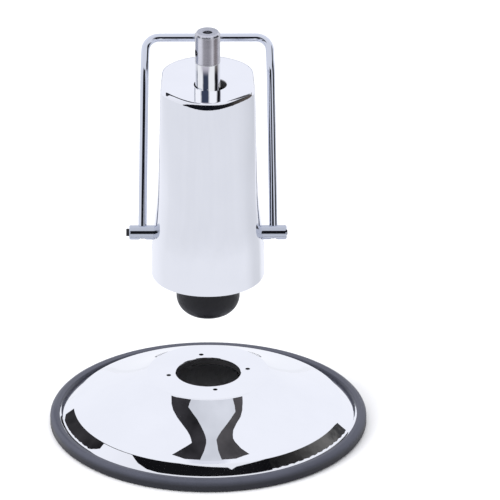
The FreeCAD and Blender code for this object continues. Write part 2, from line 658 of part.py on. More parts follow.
out("hub_roll_pins", Part.makeCompound([cyl(2.0, PIV_Z - 13.4, PIV_Z + 13.4, s * 69.2, 0).cut(
    cyl(1.0, PIV_Z - 20, PIV_Z + 20, s * 69.2, 0)) for s in (1, -1)]))

x_in = LEG_X + ROD_R + 0.15
sc = hexhead(11.0, 0, 4.6, turn=0).fuse(cyl(4.0, -(HUB_X1 - x_in), 0.1)).removeSplitter()
sc = sc.cut(revolve([(0, 4.7), (2.0, 4.7), (0, 4.0)]))
sc.rotate(V(0, 0, 0), V(0, 1, 0), -90)
sc.translate(V(-HUB_X1, 0, PIV_Z))
out("leg_set_screw_left", sc)
sc = cyl(4.0, -(HUB_X1 - x_in), 0.6).fuse(revolve([(0, 0.6), (4.0, 0.6), (3.4, 1.2), (0, 1.2)])).removeSplitter()
sc = sc.cut(hexagon(4.0, -3.0, 2.0))
sc.rotate(V(0, 0, 0), V(0, 1, 0), 90)
sc.translate(V(HUB_X1, 0, PIV_Z))
out("leg_set_screw_right", sc)

# ------------------------------- plunger -----------------------------------
CAP_TOP = bz_ - BAR_R - 0.3
cap_b = CAP_TOP - 3.0
barrel = revolve([(7.0 + RUN, 87.0), (9.4, 87.0), (9.4, 118.2), (8.6, 119.0), (7.0 + RUN, 119.0),
                  (7.0 + RUN, 116.5), (8.3, 116.5), (8.3, 113.5), (7.0 + RUN, 113.5)], V(PL_X, PL_Y, 0))
barrel = barrel.cut(rod(V(PL_X, PL_Y, 88.4), V(SUC_X, SUC_Y, 88.4), 1.3))
barrel = barrel.cut(rod(V(PL_X, PL_Y, 88.4), V(DEL_X, DEL_Y, 88.4), 1.3))
out("plunger_barrel", barrel)
out("plunger_seal", ring(7.0 + 0.03, 8.3, 113.5, 116.5, PL_X, PL_Y))
out("plunger", cyl(PL_R, 107.8, cap_b, PL_X, PL_Y))
cap = revolve([(0, cap_b), (13.1, cap_b), (13.1, cap_b - 5.3), (14.2, cap_b - 5.3), (14.2, CAP_TOP - 1.0),
               (13.2, CAP_TOP), (0, CAP_TOP)], V(PL_X, PL_Y, 0))
out("plunger_cap", cap)
out("plunger_spring", spring(11.5, 1.0, 98.1, cap_b - 0.1, 7, PL_X, PL_Y))

# ------------------------------- valves ------------------------------------
rv = hexhead(14.0, 106.0, 111.0, REL_X, REL_Y).fuse(cyl(6.0, 96.0, 106.1, REL_X, REL_Y)).removeSplitter()
rv = rv.cut(cyl(3.0 + RUN, 90.0, 112.0, REL_X, REL_Y))
out("release_valve_body", rv)
pin_top = PIV_Z - BAR_ARM * sin(radians(BAR_UP)) - BAR_R - 0.35
pin = revolve([(0, 94.2), (1.2, 94.2), (3.0, 97.0), (3.0, pin_top - 3.0), (5.4, pin_top - 3.0),
               (5.4, pin_top - 0.8), (4.6, pin_top), (0, pin_top)], V(REL_X, REL_Y, 0))
out("release_pin", pin)
out("release_spring", spring(4.3, 0.5, 111.05, pin_top - 3.05, 6, REL_X, REL_Y))

for nm, x, y, z0 in (("suction", SUC_X, SUC_Y, 100.0), ("delivery", DEL_X, DEL_Y, 102.0)):
    vp = hexhead(13.0, 108.0, 113.5, x, y).fuse(cyl(6.0, z0, 108.1, x, y)).removeSplitter()
    out(nm + "_valve_plug", vp)
    zb = 90.0 + sqrt(3.5 ** 2 - 2.4 ** 2) + 0.02
    out(nm + "_ball", Part.makeSphere(3.5, V(x, y, zb)))
out("delivery_spring", spring(2.2, 0.45, zb + 3.5 + 0.1, 101.95, 3, DEL_X, DEL_Y))

print("nodes", len(ALL))
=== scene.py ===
import bpy
import json
import math
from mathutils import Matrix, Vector
from mathutils.bvhtree import BVHTree


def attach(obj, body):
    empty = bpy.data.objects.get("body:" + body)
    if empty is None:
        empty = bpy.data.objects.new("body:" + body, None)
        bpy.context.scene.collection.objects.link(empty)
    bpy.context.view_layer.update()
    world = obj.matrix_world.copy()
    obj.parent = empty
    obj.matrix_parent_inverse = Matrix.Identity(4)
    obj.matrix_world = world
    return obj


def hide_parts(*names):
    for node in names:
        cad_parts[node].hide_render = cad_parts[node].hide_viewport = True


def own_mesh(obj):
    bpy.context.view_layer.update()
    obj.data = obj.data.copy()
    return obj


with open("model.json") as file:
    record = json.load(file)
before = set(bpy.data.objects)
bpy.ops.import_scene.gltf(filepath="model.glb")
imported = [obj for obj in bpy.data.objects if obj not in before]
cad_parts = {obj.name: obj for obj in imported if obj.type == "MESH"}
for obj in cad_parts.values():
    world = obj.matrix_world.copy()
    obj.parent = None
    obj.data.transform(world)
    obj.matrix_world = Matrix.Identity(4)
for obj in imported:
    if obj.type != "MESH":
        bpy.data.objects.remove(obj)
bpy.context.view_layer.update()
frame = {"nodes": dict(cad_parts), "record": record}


# --------------------------------------------------------------------------
# camera: long lens, about 25 degrees above the horizon, from the front
# --------------------------------------------------------------------------
ELEV = math.radians(25.3)
DIST = 16.0
FOCUS = Vector((0.0, 0.0, 0.38))
PX = 10600.0                                  # focal length in pixels at 500 wide

cam_data = bpy.data.cameras.new("camera")
cam = bpy.data.objects.new("camera", cam_data)
bpy.context.scene.collection.objects.link(cam)
cam_data.sensor_width = 36.0
cam_data.lens = PX / 500.0 * 36.0
cam_data.clip_start, cam_data.clip_end = 0.05, 200.0
fwd = Vector((0.0, math.cos(ELEV), -math.sin(ELEV)))
right = Vector((1.0, 0.0, 0.0))
up = right.cross(fwd)
cam.location = FOCUS - fwd * DIST
aim = fwd + right * ((250.0 - 208.0) / PX) - up * ((250.0 - 196.0) / PX)
cam.rotation_mode = "QUATERNION"
cam.rotation_quaternion = aim.to_track_quat("-Z", "Y")
bpy.context.scene.camera = cam


# --------------------------------------------------------------------------
# node helpers
# --------------------------------------------------------------------------
class Nodes:
    def __init__(self, tree):
        self.t = tree

    def new(self, kind, **props):
        n = self.t.nodes.new(kind)
        for k, v in props.items():
            setattr(n, k, v)
        return n

    def link(self, a, b):
        self.t.links.new(a, b)

    def put(self, socket, value):
        if hasattr(value, "is_output"):
            self.link(value, socket)
        else:
            socket.default_value = value

    def math(self, op, a, b=None, c=None, clamp=False):
        n = self.new("ShaderNodeMath", operation=op, use_clamp=clamp)
        for s, v in zip(n.inputs, (a, b, c)):
            if v is not None:
                self.put(s, v)
        return n.outputs[0]

    def step(self, value, lo, hi, a=0.0, b=1.0):
        n = self.new("ShaderNodeMapRange", interpolation_type="SMOOTHSTEP")
        self.put(n.inputs["Value"], value)
        n.inputs["From Min"].default_value = lo
        n.inputs["From Max"].default_value = hi
        n.inputs["To Min"].default_value = a
        n.inputs["To Max"].default_value = b
        return n.outputs["Result"]

    def noise(self, coord, scale, detail=3.0, rough=0.5, distortion=0.0):
        n = self.new("ShaderNodeTexNoise")
        self.put(n.inputs["Vector"], coord)
        n.inputs["Scale"].default_value = scale
        n.inputs["Detail"].default_value = detail
        n.inputs["Roughness"].default_value = rough
        n.inputs["Distortion"].default_value = distortion
        return n.outputs["Fac"]

    def ramp(self, fac, stops):
        n = self.new("ShaderNodeValToRGB")
        self.put(n.inputs["Fac"], fac)
        el = n.color_ramp.elements
        while len(el) < len(stops):
            el.new(0.5)
        for e, (p, c) in zip(el, stops):
            e.position = p
            e.color = (c[0], c[1], c[2], 1.0)
        return n.outputs["Color"]

    def stretched(self, coord, scale):
        n = self.new("ShaderNodeMapping", vector_type="POINT")
        self.put(n.inputs["Vector"], coord)
        n.inputs["Scale"].default_value = scale
        return n.outputs["Vector"]

    def bump(self, height, strength, distance, normal=None):
        n = self.new("ShaderNodeBump")
        n.inputs["Strength"].default_value = strength
        n.inputs["Distance"].default_value = distance
        self.put(n.inputs["Height"], height)
        if normal is not None:
            self.link(normal, n.inputs["Normal"])
        return n.outputs["Normal"]


def material(name):
    m = bpy.data.materials.new(name)
    m.use_nodes = True
    n = Nodes(m.node_tree)
    shader = m.node_tree.nodes["Principled BSDF"]
    coord = n.new("ShaderNodeTexCoord").outputs["Object"]
    return m, n, shader, coord


def tint(c, k):
    return tuple(min(1.0, x * k) for x in c)


def chrome(name, colour, rough=(0.02, 0.06), wave=0.00002, wave_scale=9.0):
    """Bright plate: faint long waves from the polishing, faint haze, hair-fine wipe marks."""
    m, n, s, co = material(name)
    haze = n.noise(co, 14.0, 4.0, 0.55)
    wipe = n.noise(n.stretched(co, (900.0, 900.0, 60.0)), 1.0, 2.0, 0.6)
    mix = n.math("ADD", n.math("MULTIPLY", haze, 0.7), n.math("MULTIPLY", wipe, 0.3))
    n.link(n.step(mix, 0.35, 0.70, rough[0], rough[1]), s.inputs["Roughness"])
    n.link(n.ramp(haze, [(0.30, tint(colour, 0.975)), (0.70, colour)]), s.inputs["Base Color"])
    n.link(n.bump(n.noise(co, wave_scale, 1.0, 0.4), 0.35, wave), s.inputs["Normal"])
    s.inputs["Metallic"].default_value = 1.0
    return m


def turned(name, colour, rough=(0.22, 0.36), line=1600.0, depth=0.00003, axis=2, spread=0.0):
    """Steel with fine rings from the lathe, across the given axis; spread smears its glints along the axis."""
    m, n, s, co = material(name)
    if spread:
        t = n.new("ShaderNodeTangent", direction_type="RADIAL", axis="XYZ"[axis])
        n.link(t.outputs[0], s.inputs["Tangent"])
        s.inputs["Anisotropic"].default_value = spread
        s.inputs["Anisotropic Rotation"].default_value = 0.25
    sc = [18.0, 18.0, 18.0]
    sc[axis] = line
    rings = n.noise(n.stretched(co, tuple(sc)), 1.0, 2.0, 0.7)
    cloud = n.noise(co, 60.0, 4.0, 0.6)
    n.link(n.step(rings, 0.3, 0.7, rough[0], rough[1]), s.inputs["Roughness"])
    n.link(n.ramp(n.math("ADD", n.math("MULTIPLY", rings, 0.5), n.math("MULTIPLY", cloud, 0.5)),
                  [(0.32, tint(colour, 0.86)), (0.68, tint(colour, 1.06))]), s.inputs["Base Color"])
    n.link(n.bump(rings, 0.5, depth), s.inputs["Normal"])
    s.inputs["Metallic"].default_value = 1.0
    return m


def paint(name, colour, rough=(0.34, 0.50), grain=700.0, depth=0.00008):
    """Paint over metal, with a slight orange-peel and rubbed patches."""
    m, n, s, co = material(name)
    peel = n.noise(co, grain, 2.0, 0.5)
    cloud = n.noise(co, 24.0, 5.0, 0.6)
    n.link(n.step(cloud, 0.3, 0.7, rough[0], rough[1]), s.inputs["Roughness"])
    n.link(n.ramp(cloud, [(0.25, tint(colour, 0.75)), (0.75, tint(colour, 1.35))]), s.inputs["Base Color"])
    n.link(n.bump(peel, 0.35, depth), s.inputs["Normal"])
    return m


def cast(name, colour):
    """Sand-cast iron under satin paint: coarse and fine lumps."""
    m, n, s, co = material(name)
    coarse = n.noise(co, 160.0, 4.0, 0.62)
    fine = n.noise(co, 900.0, 3.0, 0.6)
    lumps = n.math("ADD", n.math("MULTIPLY", coarse, 0.65), n.math("MULTIPLY", fine, 0.35))
    n.link(n.step(coarse, 0.3, 0.7, 0.36, 0.56), s.inputs["Roughness"])
    n.link(n.ramp(lumps, [(0.3, tint(colour, 0.7)), (0.7, tint(colour, 1.4))]), s.inputs["Base Color"])
    n.link(n.bump(lumps, 0.5, 0.00022), s.inputs["Normal"])
    s.inputs["Specular IOR Level"].default_value = 0.30
    return m


def rubber(name, colour, rough=(0.40, 0.56), top=None, z0=0.0, z1=1.0):
    """Moulded rubber: fine grain, faint bloom; above z0 to z1 its colour turns to top, a painted lighter top where
    light falls, the lower part staying dark as painted shade.
    """
    m, n, s, co = material(name)
    bloom = n.noise(co, 12.0, 5.0, 0.62)
    grain = n.noise(co, 1400.0, 2.0, 0.6)
    n.link(n.step(bloom, 0.3, 0.7, rough[0], rough[1]), s.inputs["Roughness"])
    skin = n.ramp(bloom, [(0.28, tint(colour, 0.84)), (0.72, tint(colour, 1.18))])
    # painted light: the lighter colour top above z0 to z1 stands in for light on the upper faces, the darker colour
    # below for shade
    if top:
        sp = n.new("ShaderNodeSeparateXYZ")
        n.link(co, sp.inputs[0])
        mix = n.new("ShaderNodeMix", data_type="RGBA")
        n.link(n.step(sp.outputs[2], z0, z1), mix.inputs[0])
        n.link(skin, mix.inputs[6])
        n.link(n.ramp(bloom, [(0.28, tint(top, 0.88)), (0.72, tint(top, 1.12))]), mix.inputs[7])
        skin = mix.outputs[2]
    n.link(skin, s.inputs["Base Color"])
    n.link(n.bump(grain, 0.3, 0.00006), s.inputs["Normal"])
    s.inputs["Specular IOR Level"].default_value = 0.28
    return m


record_colour = {m["slot"]: m["base_color"] for m in frame["record"]["materials"]}
C = dict(record_colour)
C["cover_chrome"] = (0.86, 0.87, 0.92)
C["base_chrome"] = (0.88, 0.89, 0.93)
C["spindle_steel"] = (0.54, 0.54, 0.57)
# bar and hub chrome get darker, bluer colours than the cover's: painted shade for the greyer surroundings their
# curves mirror
C["bar_chrome"] = (0.68, 0.71, 0.80)
C["hub_chrome"] = (0.52, 0.55, 0.63)
C["black_oxide"] = (0.035, 0.035, 0.038)
C["edge_rubber"] = (0.016, 0.017, 0.024)
C["cast_black"] = (0.006, 0.006, 0.009)
MATS = {
    "base_chrome": chrome("base_chrome", C["base_chrome"], (0.015, 0.045), 0.00002, 7.0),
    "cover_chrome": chrome("cover_chrome", C["cover_chrome"], (0.03, 0.08), 0.00003, 10.0),
    "bar_chrome": chrome("bar_chrome", C["bar_chrome"], (0.03, 0.08), 0.00001, 30.0),
    "hub_chrome": chrome("hub_chrome", C["hub_chrome"], (0.04, 0.10), 0.00001, 40.0),
    "ram_chrome": chrome("ram_chrome", C["ram_chrome"], (0.03, 0.07), 0.00001, 40.0),
    "ball_steel": chrome("ball_steel", C["ball_steel"], (0.04, 0.09), 0.000005, 90.0),
    "spindle_steel": turned("spindle_steel", C["spindle_steel"], (0.20, 0.32), 1500.0, 0.00002, 2, 0.85),
    "plain_steel": turned("plain_steel", C["plain_steel"], (0.24, 0.38), 1200.0),
    "zinc_steel": turned("zinc_steel", C["zinc_steel"], (0.28, 0.42), 900.0),
    "spring_steel": turned("spring_steel", C["spring_steel"], (0.30, 0.46), 700.0),
    "black_oxide": turned("black_oxide", C["black_oxide"], (0.30, 0.46), 900.0),
    "bronze": turned("bronze", C["bronze"], (0.26, 0.42), 1100.0),
    "copper_ring": turned("copper_ring", C["copper_ring"], (0.30, 0.46), 1100.0),
    # edge rubber: the top colour above z 0.008 to 0.0185 is a painted lighter top, the darker base colour below is
    # painted shade
    "edge_rubber": rubber("edge_rubber", C["edge_rubber"], top=(0.074, 0.078, 0.104), z0=0.008, z1=0.0185),
    "seal_rubber": rubber("seal_rubber", C["seal_rubber"]),
    "black_plate": paint("black_plate", C["black_plate"]),
    "tube_black": paint("tube_black", C["tube_black"]),
    "yoke_black": paint("yoke_black", C["yoke_black"]),
    "cast_black": cast("cast_black", C["cast_black"]),
}

for s in frame["record"]["subparts"]:
    o = frame["nodes"][s["node"]]
    if not o.material_slots:
        o.data.materials.append(None)
    for ms in o.material_slots:
        ms.material = MATS[s["material_slot"]]
# the cushion ring's rubber is painted lighter grey than the other rubber, standing in for light reaching into the
# cover's hole
frame["nodes"]["cover_cushion_ring"].material_slots[0].material = rubber("cushion_rubber", (0.15, 0.15, 0.16))


# --------------------------------------------------------------------------
# springs: a rigid coil can't follow what presses it; each is hidden and a copy with its own mesh is attached to the
# pump body
# --------------------------------------------------------------------------
def coil(node):
    src = frame["nodes"][node]
    o = bpy.data.objects.new(node + "_coil", src.data.copy())
    bpy.context.scene.collection.objects.link(o)
    o.matrix_world = src.matrix_world.copy()
    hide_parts(node)
    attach(o, "pump")
    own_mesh(o)
    return o


coil("plunger_spring")
coil("release_spring")
coil("delivery_spring")


# --------------------------------------------------------------------------
# floor, surroundings and light
# --------------------------------------------------------------------------
fm, fn, fs, fc = material("floor_pale")
cloud = fn.noise(fc, 0.8, 2.0, 0.5)
pale = fn.ramp(cloud, [(0.3, (0.90, 0.90, 0.91)), (0.7, (0.92, 0.92, 0.93))])
fsep = fn.new("ShaderNodeSeparateXYZ")
fn.link(fc, fsep.inputs[0])
frad = fn.math("SQRT", fn.math("ADD", fn.math("MULTIPLY", fsep.outputs[0], fsep.outputs[0]),
                               fn.math("MULTIPLY", fsep.outputs[1], fsep.outputs[1])))
shade_under_base = fn.new("ShaderNodeMix", data_type="RGBA")              # the floor hidden under the base is painted darker, as shade
fn.link(fn.step(frad, 0.17, 0.22), shade_under_base.inputs[0])
shade_under_base.inputs[6].default_value = (0.62, 0.62, 0.63, 1.0)
fn.link(pale, shade_under_base.inputs[7])
fn.link(shade_under_base.outputs[2], fs.inputs["Base Color"])
fs.inputs["Roughness"].default_value = 0.9
fs.inputs["Specular IOR Level"].default_value = 0.1
fmesh = bpy.data.meshes.new("floor")
R = 30.0
fmesh.from_pydata([(-R, -R, 0), (R, -R, 0), (R, R, 0), (-R, R, 0)], [], [(0, 1, 2, 3)])
floor = bpy.data.objects.new("floor", fmesh)
floor.location = (0, 0, -0.0002)
bpy.context.scene.collection.objects.link(floor)
fmesh.materials.append(fm)

world = bpy.data.worlds.new("studio")
bpy.context.scene.world = world
world.use_nodes = True
wn = Nodes(world.node_tree)
bg = world.node_tree.nodes["Background"]
d = wn.new("ShaderNodeTexCoord").outputs["Generated"]
sep = wn.new("ShaderNodeSeparateXYZ")
wn.link(d, sep.inputs[0])
sky_z = wn.step(sep.outputs[2], -0.2, 1.0)
wn.link(wn.ramp(sky_z, [(0.0, (0.95, 0.96, 1.0)), (1.0, (0.97, 0.975, 1.0))]), bg.inputs["Color"])
bg.inputs["Strength"].default_value = 0.98


def stage_mesh(name, verts, faces, mat):
    """A studio piece that only mirror reflections see."""
    me = bpy.data.meshes.new(name)
    me.from_pydata(verts, [], faces)
    me.materials.append(mat)
    o = bpy.data.objects.new(name, me)
    bpy.context.scene.collection.objects.link(o)
    o.visible_camera = False
    o.visible_diffuse = False
    o.visible_shadow = False
    o.visible_transmission = False
    return o


def glow(name, stops, value_of, strength=1.0):
    """Self-lit studio surface: its brightness follows value_of through the colour stops."""
    m, n, s, co = material(name)
    n.link(n.ramp(value_of(n, co), stops), s.inputs["Emission Color"])
    s.inputs["Base Color"].default_value = (0.0, 0.0, 0.0, 1.0)
    s.inputs["Roughness"].default_value = 1.0
    s.inputs["Specular IOR Level"].default_value = 0.0
    s.inputs["Emission Strength"].default_value = strength
    m.cycles.emission_sampling = "NONE"
    return m


def azimuth(n, co):
    sp = n.new("ShaderNodeSeparateXYZ")
    n.link(co, sp.inputs[0])
    px, py, pz = sp.outputs
    flat = n.math("SQRT", n.math("ADD", n.math("MULTIPLY", px, px), n.math("MULTIPLY", py, py)))
    return n.math("ARCTAN2", px, n.math("MULTIPLY", py, -1.0)), n.math("ARCTAN2", pz, flat), py


def surround_level(n, co):
    """Reflected room: bright, brighter behind, with a dark end in front that turns to the right."""
    az, el, py = azimuth(n, co)
    band = n.math("MULTIPLY", n.step(el, -0.06, 0.0), n.step(el, 0.74, 0.90, 1.0, 0.0))
    wide = n.math("MULTIPLY", n.step(az, -0.95, -0.60), n.step(az, 0.30, 0.42, 1.0, 0.0))
    wide2 = n.math("MULTIPLY", n.step(az, 0.95, 1.10), n.step(az, 1.75, 1.95, 1.0, 0.0))
    dark = n.math("MULTIPLY", band, n.math("MAXIMUM", wide, n.math("MULTIPLY", wide2, 0.93)))
    back = n.step(py, -2.0, 9.0)
    return n.math("SUBTRACT", n.math("ADD", 0.72, n.math("MULTIPLY", back, 0.28)), n.math("MULTIPLY", dark, 0.98), clamp=True)


RS = 24.0
sv, sf = [], []
NA, NE = 48, 14
for j in range(NE + 1):
    e = math.radians(-4.0 + 94.0 * j / NE)
    for i in range(NA):
        a = 2 * math.pi * i / NA
        sv.append((RS * math.cos(e) * math.sin(a), -RS * math.cos(e) * math.cos(a), RS * math.sin(e)))
for j in range(NE):
    for i in range(NA):
        k = (i + 1) % NA
        sf.append((j * NA + i, j * NA + k, (j + 1) * NA + k, (j + 1) * NA + i))
stage_mesh("reflected_room", sv, sf,
           glow("reflected_room", [(0.0, (0.010, 0.011, 0.014)), (0.72, (0.90, 0.91, 0.955)), (1.0, (0.965, 0.98, 1.04))],
                surround_level))


def sector(r0, r1, a0, a1, steps=24, z=0.0006):
    """Grid of a ring sector on the floor; angle 0 is the front, + to the right, in degrees."""
    vs, fs_ = [], []
    for k in range(steps + 1):
        a = math.radians(a0 + (a1 - a0) * k / steps)
        for r in (r0, r1):
            vs.append((r * math.sin(a), -r * math.cos(a), z))
    for k in range(steps):
        fs_.append((2 * k, 2 * k + 1, 2 * k + 3, 2 * k + 2))
    return vs, fs_


def radius_of(n, co):
    sp = n.new("ShaderNodeSeparateXYZ")
    n.link(co, sp.inputs[0])
    px, py = sp.outputs[0], sp.outputs[1]
    return n.math("SQRT", n.math("ADD", n.math("MULTIPLY", px, px), n.math("MULTIPLY", py, py)))


def floor_value(n, co):
    """Floor as polished metal sees it: brightest behind, bright nearby, greyer far in front and to the far right."""
    az = azimuth(n, co)[0]
    rad = radius_of(n, co)
    far = n.math("MULTIPLY", n.math("MULTIPLY", n.step(rad, 0.90, 1.45), n.step(rad, 3.0, 7.0, 1.0, 0.0)), 0.16)
    side = n.math("MULTIPLY", n.step(az, 1.35, 1.95), 0.34)
    right = n.step(az, 2.12, 2.50)
    behind = n.math("MAXIMUM", n.step(n.math("MULTIPLY", az, -1.0), 1.65, 2.30), right)
    side = n.math("MULTIPLY", side, n.math("SUBTRACT", 1.0, right))
    soft = n.math("MULTIPLY", n.math("SUBTRACT", n.noise(co, 2.2, 2.0, 0.5), 0.5), 0.14)
    total = n.math("ADD", n.math("ADD", far, soft), side)
    return n.math("ADD", n.math("MULTIPLY", n.math("SUBTRACT", 1.0, total, clamp=True), 0.8), n.math("MULTIPLY", behind, 0.2))


stage_mesh("floor_shade", *sector(0.262, 9.0, -180.0, 180.0, 120, 0.0004),
           glow("floor_shade", [(0.0, (0.47, 0.485, 0.52)), (0.8, (0.895, 0.91, 0.955)), (1.0, (0.965, 0.98, 1.035))], floor_value))

# --------------------------------------------------------------------------
# flags round the spindle, where its front mirrors them
# --------------------------------------------------------------------------
def cloudy(scale):
    return lambda n, co: n.noise(co, scale, 3.0, 0.55)


def sheet_x(u, reach):
    """Sideways place of a sheet's point that the spindle mirrors at share u of its half-width."""
    return 0.019 * u + 2.0 * math.cos(ELEV) * reach * u * math.sqrt(1.0 - u * u)


def banded(reach, low, high=None, z0=0.0, z1=1.0):
    """Soft upright bands: low (and high, above z0 to z1) are lists of (share of the half-width, colour)."""
    m, n, s, co = material("spindle_bands")
    sp = n.new("ShaderNodeSeparateXYZ")
    n.link(co, sp.inputs[0])
    x0, x1 = sheet_x(low[0][0], reach), sheet_x(low[-1][0], reach)
    fac = n.math("DIVIDE", n.math("SUBTRACT", sp.outputs[0], x0), x1 - x0, clamp=True)
    wobble = n.math("MULTIPLY", n.math("SUBTRACT", n.noise(co, 110.0, 3.0, 0.6), 0.5), 0.03)
    fac = n.math("ADD", fac, wobble, clamp=True)
    colour = n.ramp(fac, [((sheet_x(u, reach) - x0) / (x1 - x0), c) for u, c in low])
    if high:
        mix = n.new("ShaderNodeMix", data_type="RGBA")
        n.link(n.step(sp.outputs[2], z0, z1), mix.inputs[0])
        n.link(colour, mix.inputs[6])
        n.link(n.ramp(fac, [((sheet_x(u, reach) - x0) / (x1 - x0), c) for u, c in high]), mix.inputs[7])
        colour = mix.outputs[2]
    n.link(colour, s.inputs["Emission Color"])
    s.inputs["Base Color"].default_value = (0.0, 0.0, 0.0, 1.0)
    s.inputs["Roughness"].default_value = 1.0
    s.inputs["Specular IOR Level"].default_value = 0.0
    s.inputs["Emission Strength"].default_value = 1.0
    m.cycles.emission_sampling = "NONE"
    return m


def spindle_sheet(name, u0, u1, z0, z1, mat, reach, steps=36):
    """u is the share of the spindle's half-width, - to the left."""
    vs, fs_ = [], []
    d_ = fwd.normalized()
    for j in range(3):
        for k in range(steps + 1):
            a = math.asin(u0 + (u1 - u0) * k / steps)
            n_ = Vector((math.sin(a), -math.cos(a), 0.0))
            r_ = d_ - n_ * (2.0 * d_.dot(n_))
            q = Vector((n_.x * 0.019, n_.y * 0.019, z0 + (z1 - z0) * j / 2.0))
            vs.append(tuple(q + r_ * reach))
    w = steps + 1
    for j in range(2):
        for k in range(steps):
            fs_.append((j * w + k, j * w + k + 1, (j + 1) * w + k + 1, (j + 1) * w + k))
    return stage_mesh(name, vs, fs_, mat)


# colours of the sheets the spindle mirrors, painted reflections: bright, deep blue, lilac grey and black
PALE, DEEP_BLUE_REFLECTION, MIST, BLACK_REFLECTION = (1.0, 1.01, 1.05), (0.045, 0.058, 0.10), (0.58, 0.56, 0.64), (0.010, 0.010, 0.013)
spindle_sheet("spindle_low", -0.88, 0.86, 0.560, 0.6030,
              banded(0.004, [(-0.88, (0.10, 0.12, 0.18)), (-0.83, (0.16, 0.18, 0.25)), (-0.77, PALE), (-0.44, PALE), (-0.33, DEEP_BLUE_REFLECTION),
                             (0.02, DEEP_BLUE_REFLECTION), (0.12, PALE), (0.50, PALE), (0.60, BLACK_REFLECTION), (0.76, BLACK_REFLECTION), (0.86, (0.55, 0.55, 0.62))],
                     [(-0.88, (0.45, 0.47, 0.55)), (-0.77, PALE), (-0.60, PALE), (-0.38, MIST), (-0.10, MIST), (0.04, MIST),
                      (0.22, PALE), (0.50, PALE), (0.62, (0.13, 0.12, 0.12)), (0.76, (0.20, 0.18, 0.18)), (0.86, (0.70, 0.70, 0.78))],
                     0.584, 0.600), 0.004)
spindle_sheet("spindle_high", -0.90, 0.90, 0.6040, 0.6480,
              banded(0.007, [(-0.90, (0.34, 0.38, 0.52)), (-0.82, (0.40, 0.44, 0.58)), (-0.72, (1.22, 1.24, 1.34)), (-0.50, (1.15, 1.16, 1.26)),
                             (-0.30, (0.52, 0.51, 0.56)), (0.05, (0.44, 0.43, 0.48)), (0.22, (0.56, 0.55, 0.60)), (0.40, (1.02, 1.01, 1.08)),
                             (0.56, (0.34, 0.31, 0.33)), (0.72, (0.38, 0.35, 0.37)), (0.84, (0.70, 0.70, 0.78)), (0.90, (1.0, 1.0, 1.1))]),
              0.007)


def chamfer_flag(name, a0, a1, s0, s1, mat, reach=0.003, steps=16):
    """Arc that the spindle's chamfer mirrors; s runs from its top (0) to its foot (1)."""
    vs, fs_ = [], []
    d_ = fwd.normalized()
    for k in range(steps + 1):
        a = math.radians(a0 + (a1 - a0) * k / steps)
        n_ = Vector((0.8 * math.sin(a), -0.8 * math.cos(a), 0.6))
        r_ = d_ - n_ * (2.0 * d_.dot(n_))
        for v in (s0, s1):
            rr = 0.016 + 0.003 * v
            vs.append(tuple(Vector((rr * math.sin(a), -rr * math.cos(a), 0.6525 - 0.004 * v)) + r_ * reach))
    for k in range(steps):
        fs_.append((2 * k, 2 * k + 1, 2 * k + 3, 2 * k + 2))
    return stage_mesh(name, vs, fs_, mat)


TOP_R, TOP_REACH = 0.020, 0.006
stage_mesh("spindle_top_sheet",
           [(TOP_R * math.sin(math.radians(15 * k)), TOP_R * math.cos(math.radians(15 * k)) + math.cos(ELEV) * TOP_REACH,
             0.6525 + math.sin(ELEV) * TOP_REACH) for k in range(24)], [tuple(range(24))],
           glow("spindle_top_sheet", [(0.3, (0.74, 0.77, 0.87)), (0.7, (0.84, 0.87, 0.98))], cloudy(60.0)))
# dark sheets that the chamfer mirrors: painted dark reflection
DARK_CHAMFER_REFLECTION = glow("chamfer_dark", [(0.3, (0.004, 0.005, 0.008)), (0.7, (0.02, 0.02, 0.03))], cloudy(80.0))
chamfer_flag("chamfer_light", -80.0, 80.0, -0.1, 0.60,
             glow("chamfer_light", [(0.3, (1.05, 1.08, 1.20)), (0.7, (1.20, 1.22, 1.34))], cloudy(80.0)), 0.0031, 40)
chamfer_flag("chamfer_left", -56.0, -38.0, 0.55, 1.15, DARK_CHAMFER_REFLECTION)
chamfer_flag("chamfer_front", -26.0, 14.0, 0.60, 1.15, DARK_CHAMFER_REFLECTION)
chamfer_flag("chamfer_right", 30.0, 62.0, 0.50, 1.15, DARK_CHAMFER_REFLECTION)

# --------------------------------------------------------------------------
# small flags close above the base, each placed where the polished dome mirrors it
# --------------------------------------------------------------------------
PROFILE = [(0.0, 84.0), (93.0, 84.0), (93.001, 84.0), (100.0, 79.1), (112.0, 71.4), (130.0, 61.3), (150.0, 51.5),
           (172.0, 42.0), (188.0, 35.8), (203.0, 30.2)]
SLOPES = [(93.0, -0.715), (100.0, -0.672), (112.0, -0.602), (130.0, -0.525), (150.0, -0.460), (172.0, -0.410),
          (188.0, -0.380), (203.0, -0.366)]


def table(rows, v):
    for (a, p), (b, q) in zip(rows, rows[1:]):
        if v <= b:
            return p + (q - p) * (v - a) / (b - a)
    return rows[-1][1]


def pixel_ray(px, py):
    d_ = cam.rotation_quaternion @ Vector(((px - 250.0) / PX, (250.0 - py) / PX, -1.0))
    return cam.location.copy(), d_.normalized()


def dome_point(px, py):
    """Where the sight line through a picture point meets the dome, and the dome's normal there."""
    o_, d_ = pixel_ray(px, py)
    t = (o_.z - 0.0841) / -d_.z
    step = 0.0005
    for _ in range(900):
        p = o_ + d_ * t
        r = math.hypot(p.x, p.y) * 1000.0
        if r < 203.0 and p.z * 1000.0 <= table(PROFILE, r):
            break
        t += step
    p = o_ + d_ * t
    r = math.hypot(p.x, p.y) * 1000.0
    m_ = table(SLOPES, r)
    nz = 1.0 / math.sqrt(1.0 + m_ * m_)
    return p, Vector((-m_ * nz * p.x * 1000.0 / r, -m_ * nz * p.y * 1000.0 / r, nz)), d_


